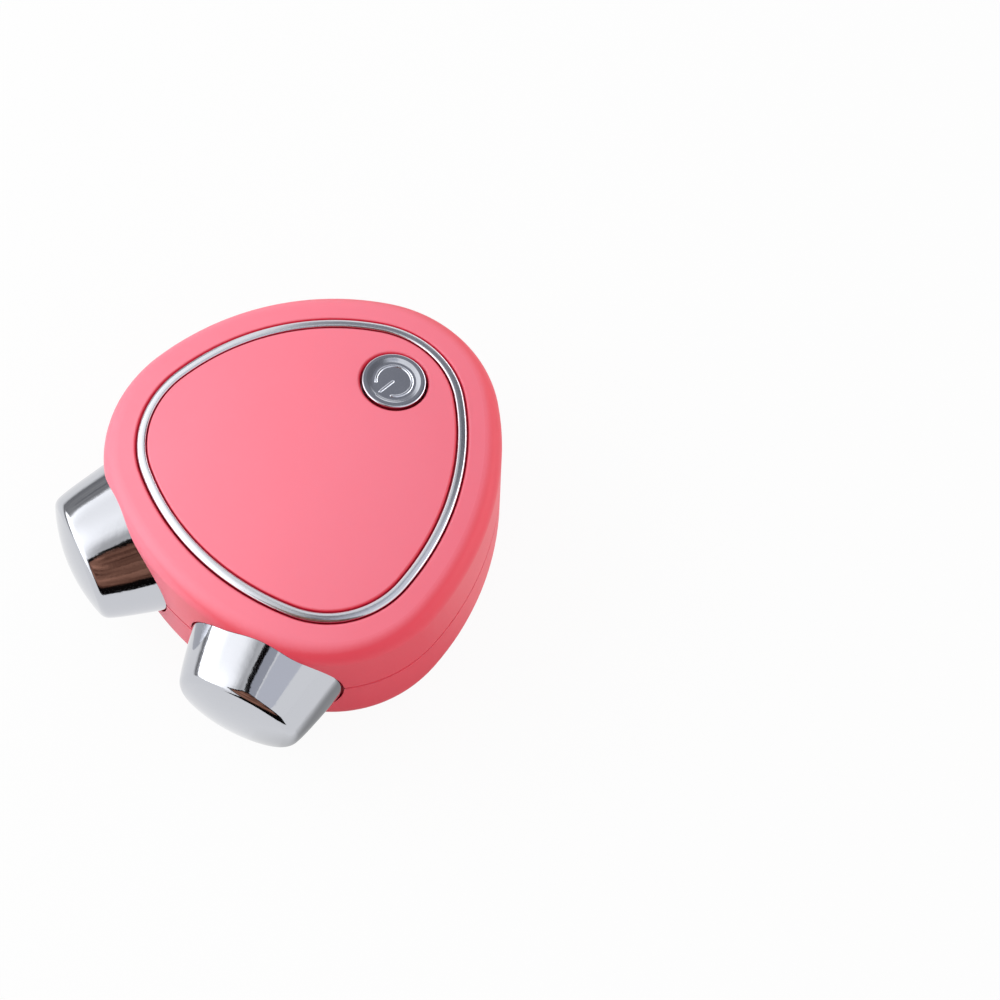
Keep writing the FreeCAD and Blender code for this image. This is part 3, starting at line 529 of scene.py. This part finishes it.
def roller_profile():
    """Radius and depth, from the middle of the crowned end out, along the cone and back inside to the hub."""
    s = sizes()
    end, taper, edge, back = s.roller_end, s.roller_taper, s.roller_edge, s.roller_length
    crown_steps, edge_steps, cone_steps, rounds = 12, 40, 32, 20
    ball = (end ** 2 + s.roller_crown ** 2) / (2 * s.roller_crown)
    centre = ball - s.roller_crown
    # Buffing eases the edge into the cone: the line starts steeper and dies away to the cone's own taper
    steep = math.atan(taper) + s.roller_ease
    extra = math.tan(steep) - taper
    reach = s.roller_ease_reach
    # The rounding's middle is one edge radius inside both the crown's ball and the eased cone
    depth = edge
    for _ in range(rounds):
        outset = depth - edge * math.sin(steep)
        middle = end + taper * outset - edge * math.cos(steep) - extra * reach
        depth = centre - math.sqrt((ball - edge) ** 2 - middle ** 2)
    start = math.atan2(centre - depth, middle)
    flat = middle + edge * math.cos(start)
    points = []
    for i in range(1, crown_steps):
        radius = flat * i / crown_steps
        points.append((radius, centre - math.sqrt(ball ** 2 - radius ** 2)))
    for i in range(edge_steps + 1):
        turn = start + (steep - start) * i / edge_steps
        points.append((middle + edge * math.cos(turn), depth - edge * math.sin(turn)))
    rim, outset = points[-1]
    run = back - s.roller_base - outset
    for i in range(1, cone_steps + 1):
        step = run * i / cone_steps
        eased = extra * reach * (1 - math.exp(-step / reach))
        points.append((rim + taper * step + eased, outset + step))
    # Two facets round the cone's foot, then come the hollow, the hub and the bore
    wide = end + taper * back
    front = s.roller_end_wall
    return points + [
        (wide - s.roller_base / 4, back - s.roller_base / 4), (wide - s.roller_base, back),
        (wide - s.roller_wall, back), (end + taper * front - s.roller_wall, front),
        (s.roller_hub, front), (s.roller_hub, back), (s.roller_bore, back), (s.roller_bore, s.roller_face),
    ]


class MASSAGER_OT_rollers(bpy.types.Operator):
    """Rebuild both tapered chrome rollers"""
    bl_idname = "massager.rollers"
    bl_label = "Chrome rollers"

    def execute(self, context):
        chrome = mirror_chrome()
        joints = {joint["name"]: joint for joint in frame["joints"]}
        steps = 240
        for side in SIDES:
            joint = joints[side + "_roller_spin"]
            end, out = Vector(joint["pos_m"]), Vector(joint["axis"]).normalized()
            across = out.cross(Vector((0, 0, 1))).normalized()
            up = across.cross(out)
            loops = []
            for radius, depth in roller_profile():
                loop = []
                for i in range(steps):
                    turn = 2 * math.pi * i / steps
                    spoke = across * math.cos(turn) + up * math.sin(turn)
                    loop.append(tuple(end - out * depth + spoke * radius))
                loops.append(loop)
            piece = skin(side + "_roller_shell", (loops, False))
            settle(piece, side + "_roller_set", side + "_roller", chrome)
        return {"FINISHED"}


METAL = {"Metallic": 1}
PLASTIC = {"IOR": 1.53}
WAXY_PLASTIC = {"IOR": 1.48, "Subsurface Weight": 0.12, "Subsurface Scale": 0.5 * MM}


def grained(name, tones, grain_mm, roughness, relief_mm, surface, texture="Noise", turn=0.0):
    """A finish whose tone, gloss and relief follow one grain, sized along X, Y and Z and turned about Z."""
    material, tree = new_material(name)
    place = add(tree, "TexCoord")
    laid = add(tree, "Mapping", {"Scale": [size * MM for size in grain_mm], "Rotation": (0, 0, turn)},
               {"Vector": (place, "Object")}, vector_type="TEXTURE")
    grain = add(tree, "Tex" + texture, {"Scale": 1}, {"Vector": (laid, "Vector")})
    level = (grain, "Distance" if texture == "Voronoi" else "Fac")
    tone = add(tree, "ValToRGB", links={"Fac": level})
    for stop, hex_code in zip(tone.color_ramp.elements, tones):
        stop.color = rgba(linear(hex_code))
    # Most of a grain lies between these levels
    tone.color_ramp.elements[0].position, tone.color_ramp.elements[1].position = 0.25, 0.75
    gloss = add(tree, "MapRange", {"To Min": roughness[0], "To Max": roughness[1]}, {"Value": level})
    bump = add(tree, "Bump", {"Strength": 0.5, "Distance": relief_mm * MM}, {"Height": level})
    shader = add(tree, "BsdfPrincipled", surface,
                 {"Base Color": (tone, "Color"), "Roughness": (gloss, "Result"), "Normal": (bump, "Normal")})
    show(tree, shader)
    return material


class MASSAGER_OT_axle_sets(bpy.types.Operator):
    """Finish the axles, bushes, washers, clips and contact springs"""
    bl_idname = "massager.axle_sets"
    bl_label = "Axle sets"

    def execute(self, context):
        # Acetal moulded without pigment: milky, waxy and even, with faint flow marks
        acetal = grained("moulded_natural_acetal", ("#E2E0D6", "#F4F3EC"), (1.5, 1.5, 1.5), (0.35, 0.48),
                         0.01, WAXY_PLASTIC)
        # Brass rolled to strip: warm bright metal with lines along the strip and a little tarnish
        brass = grained("rolled_brass_strip", ("#B28A3C", "#E3C27A"), (0.3, 0.3, 5), (0.2, 0.36), 0.01, METAL)
        # Spring steel, blanked and blued with oil: dark grey with a soft mottle
        blued = grained("oil_blued_spring_steel", ("#4A4D55", "#7C8088"), (0.6, 0.6, 0.6), (0.28, 0.42),
                        0.01, METAL)
        for side, sign in SIDES.items():
            # Steel rod ground between wheels: rings round the rod stretch one bright streak along it. Rings
            # of 0.01 mm are too fine to show, so they are drawn 0.15 mm apart
            steel = grained("ground_steel_rod_" + side, ("#9A9CA2", "#D2D3D8"), (4, 0.15, 4), (0.14, 0.3),
                            0.006, METAL, turn=sign * sizes().roller_splay)
            dress(steel, side + "_axle")
            dress(blued, side + "_retaining_clip")
            dress(acetal, side + "_front_bush", side + "_rear_bush", side + "_thrust_washer")
            dress(brass, side + "_contact_spring")
        return {"FINISHED"}


def printed_board():
    """Glass and epoxy laminate, etched, masked and routed: glossy green with paler tracks under the mask, and
    pale matte edges where the router cut the glass."""
    material, tree = new_material("solder_masked_laminate")
    place = add(tree, "TexCoord")
    # These patterns are laid out in millimetres
    laid = add(tree, "Mapping", {"Scale": (MM, MM, MM)}, {"Vector": (place, "Object")}, vector_type="TEXTURE")
    tracks = add(tree, "TexBrick", {"Color1": rgba(linear("#15532D")), "Color2": rgba(linear("#18602F")),
                                    "Mortar": rgba(linear("#2F8A4A")), "Scale": 1, "Mortar Size": 0.14,
                                    "Mortar Smooth": 0.2, "Brick Width": 3.2, "Row Height": 0.9},
                 {"Vector": (laid, "Vector")})
    gloss = add(tree, "MapRange", {"To Min": 0.2, "To Max": 0.28}, {"Value": (tracks, "Fac")})
    relief = add(tree, "Bump", {"Strength": 0.5, "Distance": 0.03 * MM}, {"Height": (tracks, "Fac")})
    mask = add(tree, "BsdfPrincipled", {"IOR": 1.5},
               {"Base Color": (tracks, "Color"), "Roughness": (gloss, "Result"),
                "Normal": (relief, "Normal")})
    weave = add(tree, "TexNoise", {"Scale": 2, "Detail": 3}, {"Vector": (laid, "Vector")})
    fibre = add(tree, "ValToRGB", links={"Fac": (weave, "Fac")})
    fibre.color_ramp.elements[0].color = rgba(linear("#A9A878"))
    fibre.color_ramp.elements[1].color = rgba(linear("#D6D4AA"))
    cut = add(tree, "BsdfPrincipled", {"IOR": 1.5, "Roughness": 0.75}, {"Base Color": (fibre, "Color")})
    upright = add(tree, "SeparateXYZ", links={"Vector": (place, "Normal")})
    level = add(tree, "Math", links={0: (upright, "Z")}, operation="ABSOLUTE")
    faced = add(tree, "Math", {1: 0.5}, {0: (level, 0)}, operation="GREATER_THAN")
    show(tree, add(tree, "MixShader", links={0: (faced, 0), 1: (cut, 0), 2: (mask, 0)}))
    return material


class MASSAGER_OT_circuit(bpy.types.Operator):
    """Finish the circuit board and the parts on it"""
    bl_idname = "massager.circuit"
    bl_label = "Circuit board"

    def execute(self, context):
        dress(printed_board(), "main_board")
        # Silica-filled epoxy from a spark-eroded mould: black, even and matte. Grain of 0.03 mm is too fine
        # to show, so it is drawn at 0.12 mm
        epoxy = grained("moulded_epoxy", ("#141416", "#29292D"), (0.12, 0.12, 0.12), (0.42, 0.6), 0.01,
                        PLASTIC)
        dress(epoxy, "controller_chip", "charging_chip")
        # Glass-filled nylon from a polished mould: short pale fibres swim in it along the flow
        nylon = grained("moulded_glass_filled_nylon", ("#D9D5C6", "#F1EEE4"), (0.2, 1.4, 0.2), (0.34, 0.5),
                        0.01, PLASTIC)
        dress(nylon, "battery_connector", "switch_plunger")
        # Black thermoset switch housing with a satin mould grain
        dress(grained("moulded_switch_resin", ("#18181A", "#303034"), (0.25, 0.25, 0.25), (0.3, 0.46), 0.01,
                      PLASTIC), "switch_body")
        # Ferrite pressed and sintered: dark, dry and crystalline
        dress(grained("sintered_ferrite", ("#1E1E20", "#4B4B50"), (0.3, 0.3, 0.3), (0.5, 0.7), 0.02, PLASTIC,
                      "Voronoi"), "boost_coil")
        # Barium titanate fired in a kiln: tan, dense and faintly speckled
        dress(grained("fired_ceramic", ("#86693F", "#BC9C70"), (0.25, 0.25, 0.25), (0.38, 0.55), 0.008,
                      PLASTIC), "chip_capacitors")
        return {"FINISHED"}


class MASSAGER_OT_battery(bpy.types.Operator):
    """Finish the cell, its tape and its leads"""
    bl_idname = "massager.battery"
    bl_label = "Battery"

    def execute(self, context):
        # Aluminium foil laminated in nylon and drawn to a pouch: silvery, with long shallow wrinkles
        dress(grained("laminated_foil_pouch", ("#AEB1B7", "#DDDFE3"), (9, 2.2, 9), (0.2, 0.4), 0.25, METAL),
              "battery")
        # Closed-cell foam, sliced: dark and dull, with cut cells. Cells of 0.1 mm are too fine to show, so
        # they are drawn at 0.4 mm
        dress(grained("sliced_closed_cell_foam", ("#101010", "#3C3C3C"), (0.4, 0.4, 0.4), (0.85, 1.0), 0.15,
                      PLASTIC, "Voronoi"), "battery_tape")
        # Soft vinyl drawn through a die: smooth and oily, with faint waviness
        for name, tones in (("red", ("#A80F12", "#CC2A26")), ("black", ("#0E0E0F", "#262628"))):
            vinyl = grained("extruded_" + name + "_vinyl", tones, (0.8, 0.8, 0.8), (0.3, 0.42), 0.02, PLASTIC)
            dress(vinyl, "battery_" + name + "_lead")
        return {"FINISHED"}


class MASSAGER_OT_charge_socket(bpy.types.Operator):
    """Finish the charging socket in the tail wall"""
    bl_idname = "massager.charge_socket"
    bl_label = "Charging socket"

    def execute(self, context):
        # Steel sheet deep drawn and nickel plated: bright, with draw lines towards the mouth
        dress(grained("nickel_plated_drawn_steel", ("#B4B4B2", "#D8D7D2"), (0.2, 5, 0.2), (0.16, 0.32), 0.008,
                      METAL), "charge_socket_shell")
        # Liquid crystal polymer moulded at speed: black with dull flow lines along the tongue
        dress(grained("moulded_black_polymer", ("#101011", "#2B2B2D"), (0.2, 2.0, 0.2), (0.4, 0.58), 0.01,
                      PLASTIC), "charge_socket_tongue")
        return {"FINISHED"}


class MASSAGER_OT_screws(bpy.types.Operator):
    """Finish the casing and board screws"""
    bl_idname = "massager.screws"
    bl_label = "Screws"

    def execute(self, context):
        # Steel rolled, zinc plated and passivated clear: cool grey with a faint straw mottle
        zinc = grained("zinc_plated_rolled_steel", ("#8D929B", "#C6C5BC"), (0.5, 0.5, 0.5), (0.24, 0.42),
                       0.01, METAL)
        dress(zinc, "case_screws", "board_screws")
        return {"FINISHED"}


# ---------------------------------------------------------------- stage

# The middle of both rollers, which the cards stand round
ROLLERS_Y, ROLLERS_Z = -30 * MM, 14 * MM
# The way the boards overhead run, roughly toward the camera
BOARDS_AZIMUTH = -56
CARD_STEPS = 12
# Colour and strength of each cloth, the share of its width over which its edges fade, and a second tone
CLOTHS = {
    "low_softbox_cloth": ("#FFFFFF", 3.2, 0.5),
    "near_softbox_cloth": ("#FFFFFF", 2.0, 0.5),
    "high_softbox_cloth": ("#FFFFFF", 1.35, 0.3),
    "right_softbox_cloth": ("#FFFFFF", 4.0, 0.2),
    "black_velvet": ("#0C0A0A", 1.0),
    "brown_cloth": ("#40221A", 1.0, 0, "#C08A74"),
    "grey_net": ("#FFFFFF", 0.5, 0.45),
    "blue_grey_board": ("#F0F3FF", 0.52),
    "pale_grey_board": ("#F4F6FF", 0.8),
    "grey_backdrop": ("#F2F4FF", 0.265, 0.12),
    "dark_backdrop": ("#F2F4FF", 0.17, 0.25),
    "dim_room": ("#FFFFFF", 0.38, 0.15, "#9898A2"),
    "dim_floor": ("#FFFFFF", 0.35, 0.35),
}
# Camera fitted to the photo: lens, sensor and place in mm, then its right, up and back directions
CAMERA_LENS, CAMERA_SENSOR = 103.453, 36
CAMERA_PLACE = (145.31176, -115.38572, 423.12164)
CAMERA_AXES = (
    (0.70752169, 0.7064407, 0.01883043),
    (-0.64967812, 0.63972504, 0.41069479),
    (0.27808522, -0.30280919, 0.91157841),
)


def bent(*edges, distance=0.7):
    """Rows of points of a card bent round the rollers. Each edge has a left azimuth, a right azimuth and an
    elevation, in degrees."""
    middle = Vector((0, ROLLERS_Y, ROLLERS_Z))
    rows = []
    for j in range(CARD_STEPS + 1):
        place = (len(edges) - 1) * j / CARD_STEPS
        k = min(int(place), len(edges) - 2)
        left, right, lift = Vector(edges[k]).lerp(Vector(edges[k + 1]), place - k)
        turns = [left + (right - left) * i / CARD_STEPS for i in range(CARD_STEPS + 1)]
        rows.append([middle + toward(turn, lift) * distance for turn in turns])
    return rows


def overhead(near, far, left, right, height=0.7):
    """Corners of a level board over the object."""
    along, across = toward(BOARDS_AZIMUTH, 0), toward(BOARDS_AZIMUTH + 90, 0)
    lift = Vector((0, ROLLERS_Y, height))
    return [[lift + along * u + across * t for t in (left, right)] for u in (near, far)]


def on_floor(start, end, near, far, middle=ROLLERS_Y):
    """Rows of points of a sector just over the floor, round a middle on the mirror plane."""
    clearance = 0.2 * MM
    lift = Vector((0, middle, clearance))
    turns = [start + (end - start) * i / CARD_STEPS for i in range(CARD_STEPS + 1)]
    return [[lift + toward(turn, 0) * reach for turn in turns] for reach in (near, far)]


def studio_card(name, rows, cloth):
    """A card that only reflections show."""
    mesh = bpy.data.meshes.new(name)
    work = bmesh.new()
    layer = work.loops.layers.uv.new("run")
    grid = [[work.verts.new(point) for point in row] for row in rows]
    high, wide = len(rows) - 1, len(rows[0]) - 1
    for j in range(high):
        for i in range(wide):
            face = work.faces.new((grid[j][i], grid[j][i + 1], grid[j + 1][i + 1], grid[j + 1][i]))
            for corner, (u, v) in zip(face.loops, ((i, j), (i + 1, j), (i + 1, j + 1), (i, j + 1))):
                corner[layer].uv = (u / wide, v / high)
    work.to_mesh(mesh)
    work.free()
    card = bpy.data.objects.new(name, mesh)
    bpy.context.scene.collection.objects.link(card)
    mesh.materials.append(cloth)
    card.visible_camera = card.visible_diffuse = card.visible_shadow = card.visible_transmission = False


def card_cloth(name, hex_code, strength, soft=0.0, streaks=None):
    """Studio cloth: an even tone or bands of two tones. Its edges fade over the soft share of its width."""
    material, tree = new_material(name)
    glow = add(tree, "Emission", {"Color": rgba(linear(hex_code)), "Strength": strength})
    place = add(tree, "UVMap", uv_map="run")
    if streaks:
        # Bands lie along the card, this many times finer across it. They turn between these noise levels
        finer, levels = 4.5, (0.36, 0.64)
        bands = add(tree, "Mapping", {"Scale": (1.0, finer, 1)}, {"Vector": (place, "UV")})
        noise = add(tree, "TexNoise", {"Scale": 1, "Detail": 3, "Roughness": 0.6},
                    {"Vector": (bands, "Vector")})
        tone = add(tree, "ValToRGB", links={"Fac": (noise, "Fac")})
        for stop, level, shade in zip(tone.color_ramp.elements, levels, (hex_code, streaks)):
            stop.position, stop.color = level, rgba(linear(shade))
        tree.links.new(tone.outputs["Color"], glow.inputs["Color"])
    if not soft:
        show(tree, glow)
        return material
    apart = add(tree, "SeparateXYZ", links={"Vector": (place, "UV")})
    mask = None
    for axis in ("X", "Y"):
        for low, high in ((0, soft), (1, 1 - soft)):
            edge = add(tree, "MapRange", {"From Min": low, "From Max": high}, {"Value": (apart, axis)},
                       interpolation_type="SMOOTHSTEP")
            if mask is None:
                mask = edge
            else:
                mask = add(tree, "Math", links={0: (mask, 0), 1: (edge, 0)}, operation="MULTIPLY")
    clear = add(tree, "BsdfTransparent")
    show(tree, add(tree, "MixShader", links={0: (mask, 0), 1: (clear, 0), 2: (glow, 0)}))
    return material


def studio_cards():
    """Everything that only the mirrors and the metal show."""
    cloths = {name: card_cloth(name, *finish) for name, finish in CLOTHS.items()}
    for name, cloth, rows in (
        ("left_softbox_low", "low_softbox_cloth", bent((-205, -72, -22), (-205, -72, 42))),
        ("left_softbox_near", "near_softbox_cloth", bent((-172, -74, -8), (-172, -74, 80), distance=0.71)),
        ("left_softbox_high", "high_softbox_cloth", bent((-215, -72, 5), (-215, -72, 86), distance=0.72)),
        ("right_softbox_front", "right_softbox_cloth", bent((20, 115, -4), (20, 115, 16))),
        ("camera_flag", "black_velvet", bent((-72, -12, -2), (-94, -24, 28), (-66, -40, 60))),
        ("camera_cloth", "brown_cloth",
         bent((-68, -20, -2), (-86, -30, 27), (-64, -44, 53), distance=0.68)),
        ("camera_floor", "black_velvet", on_floor(-74, -12, 62 * MM, 0.69)),
        ("boom", "black_velvet", overhead(-0.03, 0.5, 0, 0.1)),
        ("boom_net", "grey_net", overhead(-0.5, 0.9, -0.6, 0.18, 0.72)),
        ("right_board", "blue_grey_board", overhead(-0.25, 1.6, 0.1, 0.27)),
        ("far_right_board", "pale_grey_board", overhead(-0.25, 1.6, 0.3, 1.2)),
        ("back_flag", "grey_backdrop", bent((62, 146, 17), (62, 146, 64))),
        ("back_corner", "dark_backdrop", bent((56, 110, 14), (56, 110, 66), distance=0.69)),
        ("room_wall", "dim_room", bent((152, 194, -12), (152, 194, 26), distance=0.66)),
        ("room_gap", "dim_room", bent((-176, -84, -1), (-176, -84, 1.6), distance=0.66)),
        ("room_floor", "dim_room", on_floor(150, 226, 80 * MM, 0.8)),
        ("contact_shade", "dim_floor", on_floor(-68, 26, 16 * MM, 52 * MM, 0)),
    ):
        studio_card(name, rows, cloths[cloth])


def softbox(name, azimuth, elevation, distance, width, height, watts):
    lamp = bpy.data.lights.new(name, "AREA")
    lamp.shape, lamp.size, lamp.size_y, lamp.energy = "RECTANGLE", width, height, watts
    stand = bpy.data.objects.new(name, lamp)
    stand.location = toward(azimuth, elevation) * distance
    stand.rotation_euler = (-toward(azimuth, elevation)).to_track_quat("-Z", "Y").to_euler()
    stand.visible_glossy = False
    bpy.context.scene.collection.objects.link(stand)


def seen_share(tree, share):
    """A share for rays that come from the camera, a mirror or a clear piece."""
    path = add(tree, "LightPath")
    mirror = add(tree, "Math", links={0: (path, "Is Glossy Ray"), 1: (path, "Is Transmission Ray")},
                 operation="MAXIMUM")
    seen = add(tree, "Math", links={0: (path, "Is Camera Ray"), 1: (mirror, 0)}, operation="MAXIMUM")
    return add(tree, "Math", {1: share}, {0: (seen, 0)}, operation="MULTIPLY")


def paper_floor():
    """Matte white paper, seen almost as white as the room, so that only soft shadows show on it."""
    reach, whiteness = 3.0, 0.94
    corners = [(-reach, -reach, 0), (reach, -reach, 0), (reach, reach, 0), (-reach, reach, 0)]
    mesh = bpy.data.meshes.new("studio_floor")
    mesh.from_pydata(corners, [], [(0, 1, 2, 3)])
    floor = bpy.data.objects.new("studio_floor", mesh)
    bpy.context.scene.collection.objects.link(floor)
    material, tree = new_material("matte_paper_floor")
    paper = add(tree, "BsdfDiffuse", {"Color": rgba(tuple(colours().floor))})
    white = add(tree, "Emission", {"Strength": 1.0})
    seen = seen_share(tree, whiteness)
    show(tree, add(tree, "MixShader", links={0: (seen, 0), 1: (paper, 0), 2: (white, 0)}))
    mesh.materials.append(material)


def white_room():
    """An even room that is pure white to look at and lights a little less."""
    strength = 0.8
    world = bpy.data.worlds.new("studio")
    bpy.context.scene.world = world
    world.use_nodes = True
    tree = world.node_tree
    tree.nodes.clear()
    room = add(tree, "Background", {"Color": (1, 1, 1, 1), "Strength": strength})
    white = add(tree, "Background", {"Color": (1, 1, 1, 1), "Strength": 1.0})
    mixed = add(tree, "MixShader", links={0: (seen_share(tree, 1), 0), 1: (room, 0), 2: (white, 0)})
    add(tree, "OutputWorld", links={"Surface": (mixed, 0)})


def photo_camera():
    camera = bpy.data.cameras.new("photo_camera")
    camera.lens, camera.sensor_width = CAMERA_LENS, CAMERA_SENSOR
    holder = bpy.data.objects.new("photo_camera", camera)
    turn = Matrix(CAMERA_AXES).transposed()
    holder.matrix_world = Matrix.Translation(Vector(CAMERA_PLACE) * MM) @ turn.to_4x4()
    bpy.context.scene.collection.objects.link(holder)
    bpy.context.scene.camera = holder


class MASSAGER_OT_stage(bpy.types.Operator):
    """Set up the floor, the studio light and the camera"""
    bl_idname = "massager.stage"
    bl_label = "Studio"

    def execute(self, context):
        context.scene.view_settings.view_transform = "Standard"
        paper_floor()
        white_room()
        softbox("left_softbox", azimuth=-148, elevation=34, distance=0.5, width=0.6, height=0.45, watts=1.85)
        softbox("right_softbox", azimuth=42, elevation=10, distance=0.75, width=0.8, height=0.22, watts=1.2)
        studio_cards()
        photo_camera()
        return {"FINISHED"}


STEPS = (
    MASSAGER_OT_casing, MASSAGER_OT_face_panel, MASSAGER_OT_trim_ring, MASSAGER_OT_power_button,
    MASSAGER_OT_rollers, MASSAGER_OT_axle_sets, MASSAGER_OT_circuit, MASSAGER_OT_battery,
    MASSAGER_OT_charge_socket, MASSAGER_OT_screws, MASSAGER_OT_stage,
)


class MASSAGER_PT_pieces(bpy.types.Panel):
    """Lists the massager's pieces and settings"""
    bl_idname = "MASSAGER_PT_pieces"
    bl_label = "Facial Massager"
    bl_space_type = "VIEW_3D"
    bl_region_type = "UI"
    bl_category = "Massager"

    def draw(self, context):
        for step in STEPS:
            self.layout.operator(step.bl_idname)
        settings = context.scene.massager
        for group in (settings.sizes, settings.colours):
            box = self.layout.box()
            for name in group.__annotations__:
                box.prop(group, name)


CLASSES = (MassagerSizes, MassagerColours, MassagerSettings, *STEPS, MASSAGER_PT_pieces)


def register():
    for item in CLASSES:
        bpy.utils.register_class(item)
    bpy.types.Scene.massager = PointerProperty(type=MassagerSettings)


def unregister():
    del bpy.types.Scene.massager
    for item in reversed(CLASSES):
        bpy.utils.unregister_class(item)


def main():
    register()
    for step in STEPS:
        group, name = step.bl_idname.split(".")
        getattr(getattr(bpy.ops, group), name)()


if __name__ == "__main__":
    main()
